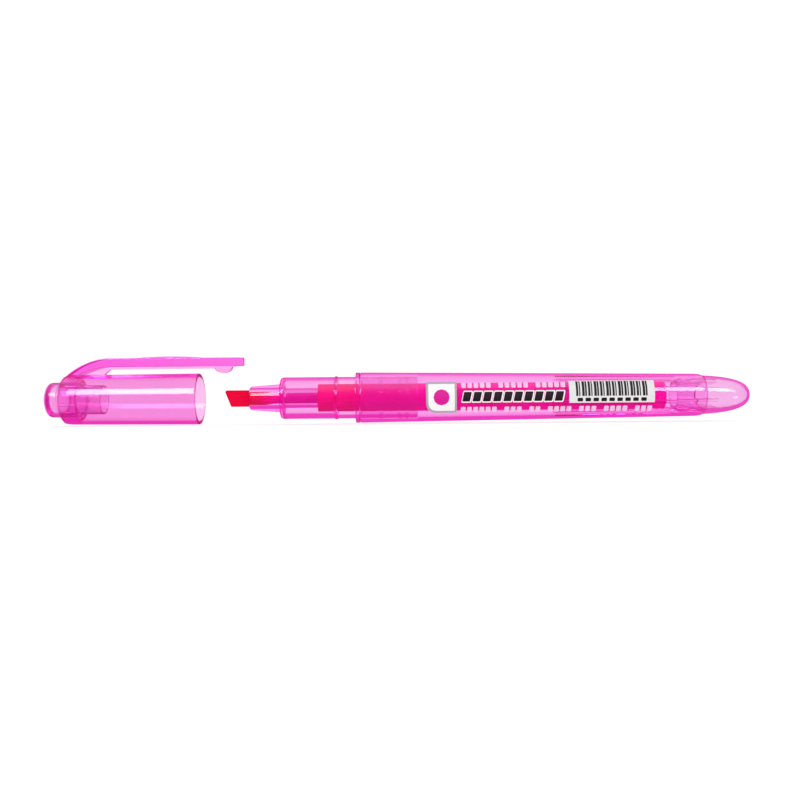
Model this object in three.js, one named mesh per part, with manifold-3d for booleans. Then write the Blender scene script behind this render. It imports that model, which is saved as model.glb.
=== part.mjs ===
// A slim pocket highlighter with its cap drawn off: a chisel nib held in a stepped section that
// snaps into a tapered barrel, a fibre reservoir in a film sleeve, a tail plug, and a clip cap
// with a vented inner cap. Millimetres. The pen's axis runs along X, nib towards -X, clip up +Z.
// The origin is under the middle of the whole length, on the surface that the pen lies on.

import * as THREE from 'three';
import { mergeVertices } from 'three/addons/utils/BufferGeometryUtils.js';
import Module from 'manifold-3d';

// ---------------------------------------------------------------- driving sizes
// Stations are distances along the pen's axis from the cap seat, which is the front face of the
// section's flange. They grow towards the tail.

// clearances
const pressGap = 0.1; // between pieces that are pushed together and stay together
const slideGap = 0.15; // between the cap's bore and the snap bead that it slides over
const hingeGap = 0.3; // between the cap's moulding and the clip arm that flexes on it
const bumpGap = 0.15; // between the clip's grip bump and the barrel when the cap is on
const weld = 0.1; // how far two shapes of one moulding reach into each other

// reservoir
const reservoirRadius = 3.5;
const reservoirSetback = 9.5; // how far the reservoir's front stands ahead of the cap seat
const reservoirRearGap = 2.6; // from the reservoir's rear to the tail plug's spigot
const filmWall = 0.2;
const ribGap = 0.15; // between the reservoir and the ribs that centre it

// barrel
const barrelLength = 86.8;
const barrelWall = 0.95;
const barrelEdgeLength = 1.9; // the rounded edge at the barrel's rear
const barrelEdgeDrop = 0.4;
const barrelRibLength = 30.3;
const barrelRibHeight = 0.8; // at the barrel's rear
const ribThickness = 0.6;
const ribCount = 8;

// nib
const nibExposed = 6.2;
const bladeHeight = 4.2;
const bladeWidth = 3;
const bladeSlant = 1.7; // how much further the blade's upper edge reaches
const bladeCorner = 0.35;
const nibBodyRadius = 1.7;
const nibBodyLength = 4.3;
const nibNeckLength = 2;
const nibShaftRadius = 1.35;
const nibInReservoir = 4;

// section: nib holder, grip, flange and the plug inside the barrel, in one moulding
const holderLength = 7.9;
const holderWall = 1.2; // round the nib at the holder's front
const holderDraft = 0.6; // how much wider the holder is at its rear
const holderEdge = 0.5;
const gripLength = 19.1;
const gripWall = 1.3;
const gripEdge = 0.7;
const chamberGap = 0.5; // between the reservoir and the grip's wall
const shoulderWall = 0.9;
const beadHeight = 0.2;
const beadWidth = 0.8;
const beadToSeat = 5;
const flangeStep = 1.1; // from the grip up to the flange and the barrel
const flangeThickness = 1.1;
const flangeEdge = 0.15;
const plugLength = 14.5;
const plugWall = 0.85;
const plugRingHeight = 0.1;
const plugRingWidth = 0.7;
const plugRingSetbacks = [4.9, 9.7, 11.4]; // from the flange's rear face
const guideWall = 0.7; // the tube round the nib's shaft, inside the grip

// tail plug
const tailLength = 11.9;
const tailStep = 0.45; // from the barrel's rear down to the tail plug
const tailEndRadius = 0.6;
const tailWall = 0.9;
const spigotLength = 7.4;

// cap
const capWall = 0.85;
const capTaper = 0.2; // the cap's radius is this much smaller at its rear
const capEdgeLength = 1.8; // the rounded shoulder at the cap's rear
const capEdgeDrop = 0.75;
const socketLength = 4.3; // the thick rear of the cap, which holds the inner cap
const tipRoom = 1.3; // from the nib's tip to the cap's rear face when the cap is on
const drawnOff = 6.5; // from the nib's tip to the cap's mouth as the cap lies here

// inner cap
const innerPlugWall = 1.1;
const fluteDepth = 0.35;
const fluteWidth = 0.8;
const fluteCount = 12;
const crownLength = 4.3;
const crownFlatRadius = 1.7;
const collarHeight = 0.4;
const collarWidth = 0.8;
const sleeveWall = 0.35;
const sealGap = 0.15; // between the sleeve's bore and the nib holder that it seals on
const sealDepth = 2.6;
const crownWall = 1.2; // the closed end of the hollow inner cap
const crownBoreRound = 1.5;

// clip
const clipWidth = 4.6;
const clipTipWidth = 4;
const clipThickness = 2.1;
const clipGap = 1.85; // from the cap's mouth surface to the clip's underside
const clipOverhang = 11.2; // how far the clip reaches past the cap's mouth
const clipArcLength = 11.9;
const clipRibWidth = 1.2;
const clipRibDepth = 0.7;
const clipTipRound = 0.4;
const padLength = 20;
const padWidth = 3.4;
const padRise = 0.45;
const padSetback = 19; // from the clip's tip to the pad's centre
const bumpLength = 4.6;
const bumpWidth = 1.6;
const bumpSetback = 5.2; // from the clip's tip to the bump's centre

const turnSides = 48; // sides on a turned piece, a multiple of 4 so that it lies on a corner
const curveSteps = 6;

// ---------------------------------------------------------------- sizes worked out

const chamberRadius = reservoirRadius + chamberGap;
const gripRadius = chamberRadius + gripWall;
const barrelFrontRadius = gripRadius + flangeStep;
const barrelRearRadius = reservoirRadius + ribGap + barrelRibHeight + barrelWall;
const barrelRearBore = barrelRearRadius - barrelWall;
const barrelSocket = barrelFrontRadius - barrelWall;
const barrelFront = flangeThickness + pressGap;
const barrelRear = barrelFront + barrelLength;

const tailRadius = barrelRearRadius - tailStep;
const tailFront = barrelRear + pressGap;
const tailEnd = tailFront + tailLength;
const spigotRadius = barrelRearBore - pressGap;
const spigotBore = spigotRadius - tailWall;
const spigotFront = tailFront - spigotLength;

const reservoirFront = -reservoirSetback;
const reservoirRear = spigotFront - reservoirRearGap;
const ribInner = reservoirRadius + ribGap;

const plugRadius = barrelSocket - plugRingHeight - pressGap;
const plugEnd = flangeThickness + plugLength;
const shoulder = -gripLength;
const holderFront = shoulder - holderLength;
const holderBore = nibBodyRadius + pressGap;
const holderFrontRadius = holderBore + holderWall;
const holderRearRadius = holderFrontRadius + holderDraft;
const nibTip = holderFront - nibExposed;

const capBore = gripRadius + beadHeight + slideGap;
const capMouthRadius = capBore + capWall;
const capRearRadius = capMouthRadius - capTaper;
const capRearEdgeRadius = capRearRadius - capEdgeDrop;
const capMouth = nibTip - drawnOff;
const capTravel = -capMouth;
const capRear = nibTip - tipRoom - capTravel;

const sealRadius = holderFrontRadius + holderDraft * sealDepth / holderLength;
const innerBore = sealRadius + sealGap;
const innerPlugRadius = innerBore + innerPlugWall;
const socketRadius = innerPlugRadius + pressGap;
const socketEnd = capRear + socketLength;
const sleeveMouth = holderFront + sealDepth - capTravel;
const crownEnd = capRear - crownLength;
const innerFloor = crownEnd + crownWall;

const clipUnderside = Math.max(capMouthRadius, barrelFrontRadius) + clipGap;
const clipTop = clipUnderside + clipThickness;
const clipTip = capMouth + clipOverhang;
const clipArcEnd = capRear + clipArcLength;
const clipFoot = capRearEdgeRadius - 0.35; // where the clip's sweep leaves the cap's edge

// ---------------------------------------------------------------- solids

const wasm = await Module();
wasm.setup();

// A manifold solid from a closed three.js geometry, for joining and cutting.
function solid(geometry) {
  const bare = geometry.clone();
  bare.deleteAttribute('normal');
  bare.deleteAttribute('uv');
  const merged = mergeVertices(bare, 1e-5);
  const corners = merged.index.array;
  const kept = [];
  for (let i = 0; i < corners.length; i += 3) {
    const [a, b, c] = corners.slice(i, i + 3);
    if (a !== b && b !== c && c !== a) kept.push(a, b, c);
  }
  return new wasm.Manifold(new wasm.Mesh({
    numProp: 3,
    vertProperties: new Float32Array(merged.attributes.position.array),
    triVerts: new Uint32Array(kept),
  }));
}

// A three.js geometry from a manifold solid.
function geometryOf(manifold) {
  const mesh = manifold.getMesh();
  const geometry = new THREE.BufferGeometry();
  geometry.setAttribute('position', new THREE.BufferAttribute(mesh.vertProperties, 3));
  geometry.setIndex(new THREE.BufferAttribute(mesh.triVerts, 1));
  geometry.computeVertexNormals();
  return geometry;
}

// Turns an outline of [radius, station] points about the pen's axis. Outer walls run tailwards.
function turned(outline) {
  const points = outline.map(([radius, station]) => new THREE.Vector2(radius, station));
  return new THREE.LatheGeometry(points, turnSides).rotateZ(-Math.PI / 2);
}

// A closed ring outline ends where it starts.
function turnedRing(outline) {
  return turned([...outline, outline[0]]);
}

// Points on a curve from start to end that leaves and arrives along the two handles.
function curve(start, startHandle, endHandle, end, steps = curveSteps) {
  const vectors = [start, startHandle, endHandle, end].map((point) => new THREE.Vector2(...point));
  return new THREE.CubicBezierCurve(...vectors).getPoints(steps).map((point) => point.toArray());
}

// Points on a quarter ellipse from start to end, round the corner point that lies between them.
function corner(start, cornerPoint, end, steps = 4) {
  const reach = 0.5523;
  const towards = (from) => from.map((value, i) => value + reach * (cornerPoint[i] - value));
  return curve(start, towards(start), towards(end), end, steps);
}

// A plate of the given width, centred on the pen's middle plane, from [station, height] points.
function upright(outline, width) {
  const shape = new THREE.Shape(outline.map((point) => new THREE.Vector2(...point)));
  const geometry = new THREE.ExtrudeGeometry(shape, { depth: width, bevelEnabled: false });
  return geometry.translate(0, 0, -width / 2).rotateX(Math.PI / 2);
}

// Joins copies of a rib, spaced evenly round the axis, to a body.
function withRibs(body, rib, count) {
  let joined = body;
  for (let i = 0; i < count; i += 1) {
    const turn = (i + 0.5) * 2 * Math.PI / count;
    joined = joined.add(solid(rib.clone().rotateX(turn)));
  }
  return joined;
}

function named(name, geometry, color, roughness) {
  const material = new THREE.MeshStandardMaterial({ color, roughness, metalness: 0 });
  const mesh = new THREE.Mesh(geometry, material);
  mesh.name = name;
  return mesh;
}

// ---------------------------------------------------------------- barrel

function barrelOuterRadius(station) {
  const share = (station - barrelFront) / (barrelLength - barrelEdgeLength);
  return barrelFrontRadius + (barrelRearRadius - barrelFrontRadius) * share;
}

function barrel() {
  const plugStop = plugEnd + pressGap;
  const edgeStart = barrelRear - barrelEdgeLength;
  const rearLip = barrelRearRadius - barrelEdgeDrop;
  const ribEnd = spigotFront - pressGap;
  const shell = turnedRing([
    [barrelSocket, barrelFront],
    [barrelFrontRadius - flangeEdge, barrelFront],
    [barrelFrontRadius, barrelFront + flangeEdge],
    ...corner([barrelRearRadius, edgeStart], [barrelRearRadius, barrelRear], [rearLip, barrelRear]),
    [barrelRearBore, barrelRear],
    [barrelRearBore, ribEnd],
    [barrelOuterRadius(plugStop) - barrelWall - pressGap, plugStop],
    [barrelSocket, plugStop],
  ]);
  const ribStart = ribEnd - barrelRibLength;
  const rib = upright([
    [ribStart, barrelOuterRadius(ribStart) - barrelWall / 2],
    [ribStart, barrelOuterRadius(ribStart) - barrelWall - pressGap],
    [ribStart + 2, ribInner],
    [ribEnd, ribInner],
    [ribEnd, barrelOuterRadius(ribEnd) - barrelWall / 2],
  ], ribThickness);
  return geometryOf(withRibs(solid(shell), rib, ribCount));
}

// ---------------------------------------------------------------- section

// A low ring round an outer wall: up, along and down again.
function raisedRing(radius, height, start, width) {
  return [
    [radius, start],
    [radius + height, start + width * 0.35],
    [radius + height, start + width * 0.65],
    [radius, start + width],
  ];
}

function section() {
  const guideRadius = holderBore + guideWall;
  const guideEnd = reservoirFront - pressGap;
  const plugBore = plugRadius - plugWall;
  const chamberFront = shoulder + shoulderWall;
  const flangeRadius = barrelFrontRadius;
  const plugRings = plugRingSetbacks.flatMap((setback) => (
    raisedRing(plugRadius, plugRingHeight, flangeThickness + setback, plugRingWidth)
  ));
  const outline = [
    [holderBore, holderFront],
    ...corner(
      [holderFrontRadius - holderEdge, holderFront],
      [holderFrontRadius, holderFront],
      [holderFrontRadius, holderFront + holderEdge],
    ),
    [holderRearRadius, shoulder],
    ...corner(
      [gripRadius - gripEdge, shoulder],
      [gripRadius, shoulder],
      [gripRadius, shoulder + gripEdge],
    ),
    ...raisedRing(gripRadius, beadHeight, -beadToSeat - beadWidth / 2, beadWidth),
    [gripRadius, 0],
    [flangeRadius - flangeEdge, 0],
    [flangeRadius, flangeEdge],
    [flangeRadius, flangeThickness - flangeEdge],
    [flangeRadius - flangeEdge, flangeThickness],
    [plugRadius, flangeThickness],
    ...plugRings,
    [plugRadius, plugEnd],
    [plugBore, plugEnd],
    [plugBore, -beadToSeat],
    [chamberRadius, -beadToSeat],
    [chamberRadius, chamberFront],
    [guideRadius, chamberFront],
    [guideRadius, guideEnd],
    [holderBore, guideEnd],
  ];
  const rib = upright([
    [reservoirFront, ribInner],
    [-beadToSeat, ribInner],
    [-beadToSeat, chamberRadius + gripWall / 2],
    [reservoirFront, chamberRadius + gripWall / 2],
  ], ribThickness);
  return geometryOf(withRibs(solid(turnedRing(outline)), rib, ribCount));
}

// ---------------------------------------------------------------- nib

function nib() {
  const half = bladeHeight / 2;
  const bladeRear = holderFront - pressGap;
  const slope = bladeSlant / bladeHeight;
  const blade = upright([
    [nibTip + bladeCorner, half],
    [nibTip, half - bladeCorner],
    [nibTip + slope * (bladeHeight - bladeCorner), -half],
    [bladeRear, -half],
    [bladeRear, half],
  ], bladeWidth);
  const neckStart = holderFront + nibBodyLength;
  const shaft = turned([
    [0, bladeRear - weld],
    [nibBodyRadius, bladeRear - weld],
    [nibBodyRadius, neckStart],
    [nibShaftRadius, neckStart + nibNeckLength],
    [nibShaftRadius, reservoirFront + nibInReservoir],
    [0, reservoirFront + nibInReservoir],
  ]);
  return geometryOf(solid(blade).add(solid(shaft)));
}

// ---------------------------------------------------------------- reservoir

function reservoirCore() {
  const coreRadius = reservoirRadius - filmWall - pressGap;
  const pocket = nibShaftRadius + pressGap;
  const pocketEnd = reservoirFront + nibInReservoir + pressGap;
  return turned([
    [0, pocketEnd],
    [pocket, pocketEnd],
    [pocket, reservoirFront],
    [coreRadius, reservoirFront],
    [coreRadius, reservoirRear],
    [0, reservoirRear],
  ]);
}

function reservoirFilm() {
  return turnedRing([
    [reservoirRadius - filmWall, reservoirFront],
    [reservoirRadius, reservoirFront],
    [reservoirRadius, reservoirRear],
    [reservoirRadius - filmWall, reservoirRear],
  ]);
}

// ---------------------------------------------------------------- tail plug

function tailPlug() {
  const innerEnd = tailEnd - tailWall;
  const outside = curve(
    [tailRadius, tailFront],
    [tailRadius * 0.93, tailFront + tailLength * 0.56],
    [tailRadius * 0.73, tailEnd],
    [tailEndRadius, tailEnd],
    12,
  );
  const inside = curve(
    [0, innerEnd],
    [spigotBore * 0.7, innerEnd],
    [spigotBore, tailFront + tailLength * 0.5],
    [spigotBore, tailFront],
  );
  const shell = turned([
    ...inside,
    [spigotBore, spigotFront],
    [spigotRadius, spigotFront],
    [spigotRadius, tailFront],
    ...outside,
    [0, tailEnd],
  ]);
  const ribEnd = tailFront + tailLength / 3;
  const rib = upright([
    [spigotFront, spigotBore - ribThickness],
    [ribEnd - 2, spigotBore - ribThickness],
    [ribEnd, spigotBore],
    [ribEnd, spigotBore + tailWall / 3],
    [spigotFront, spigotBore + tailWall / 3],
  ], ribThickness);
  return geometryOf(withRibs(solid(shell), rib, ribCount));
}

// ---------------------------------------------------------------- cap

// The clip seen from above: parallel at its root, narrowing to a rounded tip.
function clipPlan() {
  const half = clipWidth / 2;
  const tipHalf = clipTipWidth / 2;
  const outline = new THREE.Shape();
  outline.moveTo(capRear, -half);
  outline.lineTo(clipArcEnd, -half);
  outline.lineTo(clipTip - tipHalf, -tipHalf);
  outline.absarc(clipTip - tipHalf, 0, tipHalf, -Math.PI / 2, Math.PI / 2);
  outline.lineTo(clipArcEnd, half);
  outline.lineTo(capRear, half);
  const height = clipTop + padRise;
  return solid(new THREE.ExtrudeGeometry(outline, {
    depth: height,
    bevelEnabled: false,
    curveSegments: 12,
  }));
}

// The clip's root rises from the cap's rear edge in one sweep, with a web under it.
function clipRoot() {
  const along = (share) => capRear + share * clipArcLength;
  const up = (share) => clipFoot + share * (clipTop - clipFoot);
  const rootEnd = clipArcEnd - hingeGap;
  const webFront = along(0.87);
  const wallMiddle = capRearRadius - capWall / 2;
  const sweep = curve(
    [along(0.025), clipFoot],
    [along(0.17), up(0.4)],
    [along(0.57), clipTop],
    [rootEnd, clipTop],
    8,
  );
  const under = curve(
    [rootEnd, clipUnderside],
    [along(0.75), clipUnderside],
    [along(0.46), up(1 / 3)],
    [along(0.27), up(0.08)],
  );
  const bar = solid(upright([...sweep, ...under], clipWidth));
  const web = solid(upright([
    [capRear + capEdgeLength, wallMiddle],
    [webFront, wallMiddle],
    [webFront, capMouthRadius],
    [rootEnd, clipUnderside - clipRibDepth],
    [rootEnd, clipUnderside + weld],
    [along(0.64), clipUnderside],
  ], clipRibWidth));
  return bar.intersect(clipPlan()).add(web);
}

function capShell() {
  const boreRear = capBore - capTaper;
  const tube = turnedRing([
    [socketRadius, capRear],
    ...corner(
      [capRearEdgeRadius, capRear],
      [capRearRadius, capRear],
      [capRearRadius, capRear + capEdgeLength],
    ),
    [capMouthRadius, capMouth],
    [capBore, capMouth],
    [boreRear, socketEnd],
    [socketRadius, socketEnd],
  ]);
  const inside = turned([
    [0, capRear - 1],
    [socketRadius, capRear - 1],
    [socketRadius, socketEnd],
    [boreRear, socketEnd],
    [capBore, capMouth],
    [0, capMouth],
  ]);
  return geometryOf(solid(tube).add(clipRoot().subtract(solid(inside))));
}

// The arm flexes at the end of the root's sweep. A crowned pad stiffens it from above, a rib
// from below, and a half-round bump grips what the pen is clipped to.
function clipArm() {
  const bar = solid(upright([
    [clipArcEnd, clipUnderside],
    [clipTip - clipTipRound, clipUnderside],
    [clipTip, clipUnderside + clipTipRound],
    [clipTip, clipTop - clipTipRound],
    [clipTip - clipTipRound, clipTop],
    [clipArcEnd, clipTop],
  ], clipWidth));
  const pad = new THREE.SphereGeometry(1, 24, 16);
  pad.scale(padLength / 2, padWidth / 2, padRise * 2);
  pad.translate(clipTip - padSetback, 0, clipTop - padRise);
  const rib = solid(upright([
    [clipArcEnd, clipUnderside - clipRibDepth],
    [clipTip - bumpSetback, clipUnderside - clipRibDepth * 0.85],
    [clipTip - 1, clipUnderside],
    [clipTip - 1, clipUnderside + weld],
    [clipArcEnd, clipUnderside + weld],
  ], clipRibWidth));
  const bumpBottom = barrelFrontRadius + bumpGap;
  const bumpStation = clipTip - bumpSetback;
  const half = bumpLength / 2;
  const bump = solid(upright([
    ...corner(
      [bumpStation - half, clipUnderside],
      [bumpStation - half, bumpBottom],
      [bumpStation, bumpBottom],
    ),
    ...corner(
      [bumpStation, bumpBottom],
      [bumpStation + half, bumpBottom],
      [bumpStation + half, clipUnderside],
    ).slice(1),
    [bumpStation + half, clipUnderside + weld],
    [bumpStation - half, clipUnderside + weld],
  ], bumpWidth));
  return geometryOf(bar.add(solid(pad)).intersect(clipPlan()).add(rib).add(bump));
}

// ---------------------------------------------------------------- inner cap

// A round plate with even flutes cut in its rim, for air to pass along it.
function flutedShape(radius) {
  const shape = new THREE.Shape();
  const step = 2 * Math.PI / fluteCount;
  const halfFlute = fluteWidth / radius / 2;
  for (let i = 0; i < fluteCount; i += 1) {
    const centre = i * step;
    const nextEdge = centre + step - halfFlute;
    const root = radius - fluteDepth;
    const point = (r, angle) => [r * Math.cos(angle), r * Math.sin(angle)];
    if (i === 0) shape.moveTo(...point(root, centre - halfFlute));
    shape.lineTo(...point(root, centre + halfFlute));
    shape.absarc(0, 0, radius, centre + halfFlute, nextEdge);
    if (i < fluteCount - 1) shape.lineTo(...point(root, nextEdge));
  }
  return shape;
}

function innerCap() {
  const neckStart = crownEnd + crownLength / 2;
  const collarEnd = capRear - pressGap;
  const collarRadius = innerPlugRadius + collarHeight;
  const fluted = new THREE.ExtrudeGeometry(flutedShape(innerPlugRadius), {
    depth: socketEnd - neckStart,
    bevelEnabled: false,
    curveSegments: 2,
  });
  fluted.rotateY(Math.PI / 2).translate(neckStart, 0, 0);
  const crown = turned([
    [0, crownEnd],
    ...corner(
      [crownFlatRadius, crownEnd],
      [innerPlugRadius, crownEnd],
      [innerPlugRadius, neckStart],
      6,
    ),
    [innerPlugRadius, neckStart + 0.5],
    [0, neckStart + 0.5],
  ]);
  const collar = turned([
    [0, collarEnd - collarWidth],
    [innerPlugRadius, collarEnd - collarWidth],
    [collarRadius, collarEnd - collarWidth / 2],
    [collarRadius, collarEnd],
    [0, collarEnd],
  ]);
  const sleeveRadius = innerBore + sleeveWall;
  const sleeve = turned([
    [0, socketEnd - 1],
    [sleeveRadius, socketEnd - 1],
    [sleeveRadius, sleeveMouth],
    [0, sleeveMouth],
  ]);
  const bore = turned([
    [0, innerFloor],
    ...corner(
      [innerBore - crownBoreRound, innerFloor],
      [innerBore, innerFloor],
      [innerBore, innerFloor + crownBoreRound],
      4,
    ),
    [innerBore, sleeveMouth + 1],
    [0, sleeveMouth + 1],
  ]);
  const body = solid(fluted).add(solid(crown)).add(solid(sleeve));
  return geometryOf(body.add(solid(collar)).subtract(solid(bore)));
}

// ---------------------------------------------------------------- assembly

const highlighter = new THREE.Group();
highlighter.add(named('barrel', barrel(), '#f06ccb', 0.15));
highlighter.add(named('section', section(), '#f056cc', 0.15));
highlighter.add(named('nib', nib(), '#ee0040', 0.85));
highlighter.add(named('reservoir_core', reservoirCore(), '#e8006e', 0.9));
highlighter.add(named('reservoir_film', reservoirFilm(), '#f2309a', 0.3));
highlighter.add(named('tail_plug', tailPlug(), '#f29adf', 0.15));
highlighter.add(named('cap_shell', capShell(), '#ee8fdb', 0.12));
highlighter.add(named('clip_arm', clipArm(), '#f35bdc', 0.15));
highlighter.add(named('inner_cap', innerCap(), '#ff6bd8', 0.2));

// The middle of the whole length lies over the origin, and the cap's mouth touches the surface.
highlighter.position.set(-(crownEnd + tailEnd) / 2, 0, capMouthRadius);

export default highlighter;
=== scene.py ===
# %% [markdown]
# # A clear pink highlighter with its cap off
# The pen is a row of thin clear mouldings round a wet fibre rod. Nearly all of its look is light
# that has passed through two or more pink walls. So each moulding is a closed wall with a real
# inside and a real outside, and the colour comes from the plastic itself. Most pieces are round,
# so they are cross-sections spun about the pen's axis. Each code cell prints what it made.

# %% Load the fixed frame
import math

import bpy
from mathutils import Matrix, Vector


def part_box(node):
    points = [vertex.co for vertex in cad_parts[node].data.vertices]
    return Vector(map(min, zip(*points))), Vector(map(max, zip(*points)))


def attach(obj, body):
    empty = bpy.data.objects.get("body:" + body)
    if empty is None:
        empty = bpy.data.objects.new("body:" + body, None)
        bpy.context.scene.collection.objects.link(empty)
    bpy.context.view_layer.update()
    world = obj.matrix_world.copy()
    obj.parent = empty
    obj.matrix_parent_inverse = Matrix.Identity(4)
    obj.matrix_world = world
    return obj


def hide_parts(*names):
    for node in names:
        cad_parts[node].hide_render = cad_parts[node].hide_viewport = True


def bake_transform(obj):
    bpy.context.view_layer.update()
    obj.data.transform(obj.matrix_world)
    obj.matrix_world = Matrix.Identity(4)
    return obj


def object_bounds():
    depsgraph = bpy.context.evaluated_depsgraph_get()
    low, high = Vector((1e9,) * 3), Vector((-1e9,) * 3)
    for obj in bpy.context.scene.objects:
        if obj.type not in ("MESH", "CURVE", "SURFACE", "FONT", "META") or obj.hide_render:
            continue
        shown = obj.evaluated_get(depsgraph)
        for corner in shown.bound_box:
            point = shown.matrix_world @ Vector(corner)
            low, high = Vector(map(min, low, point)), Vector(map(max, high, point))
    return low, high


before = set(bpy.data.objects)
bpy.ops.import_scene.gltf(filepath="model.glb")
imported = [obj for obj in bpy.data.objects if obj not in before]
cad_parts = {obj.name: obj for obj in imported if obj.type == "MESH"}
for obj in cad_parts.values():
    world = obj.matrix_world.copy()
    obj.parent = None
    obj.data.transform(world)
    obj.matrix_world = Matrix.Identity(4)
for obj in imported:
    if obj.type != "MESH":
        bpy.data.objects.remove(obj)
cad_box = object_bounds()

# %% [markdown]
# ## Places
# Every place is counted in millimetres along the pen's axis from the cap seat, the front face of
# the flange that the cap's rim stops at. The plain solids' boxes give the seat and the ends of
# each piece, so a new piece lands exactly where its solid lies. Typing coordinates by hand would
# also work, but then nothing would follow when a size changes.

# %% The axis, the seat and a ruler
MM = 0.001
barrel_low, barrel_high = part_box("barrel")
AXIS = (barrel_low[2] + barrel_high[2]) / 2
SEAT = barrel_low[0] - 1.2 * MM


def station(x):
    """Millimetres from the cap seat, for a place in the frame."""
    return (x - SEAT) / MM


def ends_of(node):
    low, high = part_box(node)
    return station(low[0]), station(high[0])


def radius_of(node):
    low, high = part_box(node)
    return (high[1] - low[1]) / 2 / MM


print("axis", round(AXIS / MM, 2), "mm up; seat at x =", round(SEAT / MM, 2), "mm")

# %% Ends and radii of the mouldings
HOLDER_FRONT, PLUG_END = ends_of("section")
NIB_TIP, NIB_END = ends_of("nib")
CAP_REAR, CAP_MOUTH = ends_of("cap_shell")
CROWN_END, SLEEVE_MOUTH = ends_of("inner_cap")
CLIP_TIP = ends_of("clip_arm")[1]
BARREL_FRONT, BARREL_REAR = ends_of("barrel")
SPIGOT_FRONT, TAIL_END = ends_of("tail_plug")
ROD_FRONT, ROD_REAR = ends_of("reservoir_film")
BARREL_RADIUS = radius_of("barrel")
CAP_RADIUS = radius_of("cap_shell")
ROD_RADIUS = radius_of("reservoir_film")
TAIL_RADIUS = radius_of("tail_plug")
print("nib tip", round(NIB_TIP, 2), "mm, tail", round(TAIL_END, 2), "mm from the seat")

# %% [markdown]
# ## Outlines
# A moulded edge is never perfectly sharp: the mould is rounded, and that round edge is what
# catches a line of light. So an outline here is a list of corners, each with the size of its
# fillet. The fillet could be a Bevel modifier on the finished piece, but in the outline each
# corner gets its own size, and the long faces between the corners stay straight.

# %% A point in the frame, and an outline with fillets
def place(along, out, across=0.0):
    """Along the pen from the seat, out from its axis upwards, and across it."""
    return (SEAT + along * MM, across * MM, AXIS + out * MM)


def rounded(outline, steps=6, support=0.06):
    """Corners (along, out, fillet) to points; a fillet over 0 turns that corner into a curve.

    A support point on each side of a curve keeps the shading of the long faces flat.
    """
    points = []
    last = len(outline) - 1
    for i, (along, out, fillet) in enumerate(outline):
        if fillet <= 0:
            points.append((along, out))
            continue
        here = Vector((along, out))
        before = Vector(outline[max(i - 1, 0)][:2]) - here
        after = Vector(outline[min(i + 1, last)][:2]) - here
        reach_in = min(fillet, before.length * 0.45)
        reach_out = min(fillet, after.length * 0.45)
        start = here + before.normalized() * reach_in
        end = here + after.normalized() * reach_out
        if reach_in + support < before.length * 0.5:
            points.append(tuple(start + before.normalized() * support))
        for k in range(steps + 1):
            t = k / steps
            points.append(tuple((1 - t) ** 2 * start + 2 * t * (1 - t) * here + t * t * end))
        if reach_out + support < after.length * 0.5:
            points.append(tuple(end + after.normalized() * support))
    return points


print("one filleted corner takes", len(rounded([(0, 0, 0), (5, 0, 1), (5, 5, 0)])) - 2, "points")

# %% A long curve between two points
def sweep(start, start_handle, end_handle, end, steps=10):
    """Points on a curve that leaves start and reaches end along the two handles."""
    a, b, c, d = (Vector(p) for p in (start, start_handle, end_handle, end))
    return [
        tuple((1 - t) ** 3 * a + 3 * t * (1 - t) ** 2 * b + 3 * t * t * (1 - t) * c + t ** 3 * d)
        for t in (k / steps for k in range(steps + 1))
    ]


print("halfway up a quarter bend:", sweep((0, 0), (0, 1), (0, 1), (1, 1), 2)[1])

# %% [markdown]
# ## From an outline to a mesh
# By hand, one would add a plane, merge it to a single point and extrude that point from corner
# to corner. The same operators do it here. Spin then carries the wire round the axis for a
# moulding, or a filled outline is pulled out to a width for a flat rib. Spin closes on itself and
# can leave doubles and turned faces, so those are merged first and the normals recalculated last.

# %% Draw an outline and clean a mesh
def deselect():
    if bpy.context.object and bpy.context.object.mode != "OBJECT":
        bpy.ops.object.mode_set(mode="OBJECT")
    bpy.ops.object.select_all(action="DESELECT")


def draw(name, corners):
    """One vertex extruded from corner to corner, left in edit mode as a wire."""
    deselect()
    bpy.ops.mesh.primitive_plane_add(size=MM, location=(0, 0, 0))
    piece = bpy.context.object
    piece.name = name
    bpy.ops.object.mode_set(mode="EDIT")
    bpy.ops.mesh.merge(type="CENTER")
    bpy.ops.transform.translate(value=corners[0])
    for here, there in zip(corners, corners[1:]):
        step = Vector(there) - Vector(here)
        bpy.ops.mesh.extrude_region_move(TRANSFORM_OT_translate={"value": step})
    return piece


def finish_mesh(piece, smooth_angle=35):
    bpy.ops.object.mode_set(mode="EDIT")
    bpy.ops.mesh.select_all(action="SELECT")
    bpy.ops.mesh.remove_doubles(threshold=1e-6)
    bpy.ops.mesh.normals_make_consistent(inside=False)
    bpy.ops.object.mode_set(mode="OBJECT")
    bpy.ops.object.shade_smooth_by_angle(angle=math.radians(smooth_angle))
    print(piece.name, "-", len(piece.data.polygons), "faces")
    return piece


print("edges under 35 degrees are shaded smooth")

# %% Spin an outline, or pull it out to a width
def turn(name, outline, steps=96):
    """Spins an outline of (along, out) points about the pen's axis."""
    piece = draw(name, [place(*point) for point in outline])
    bpy.ops.mesh.select_all(action="SELECT")
    bpy.ops.mesh.spin(steps=steps, angle=2 * math.pi, center=(0, 0, AXIS), axis=(1, 0, 0))
    return finish_mesh(piece)


def fill(piece):
    """Closes a drawn outline with one face."""
    bpy.ops.mesh.select_all(action="SELECT")
    bpy.ops.mesh.remove_doubles(threshold=1e-6)
    bpy.ops.mesh.edge_face_add()
    return piece


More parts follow.
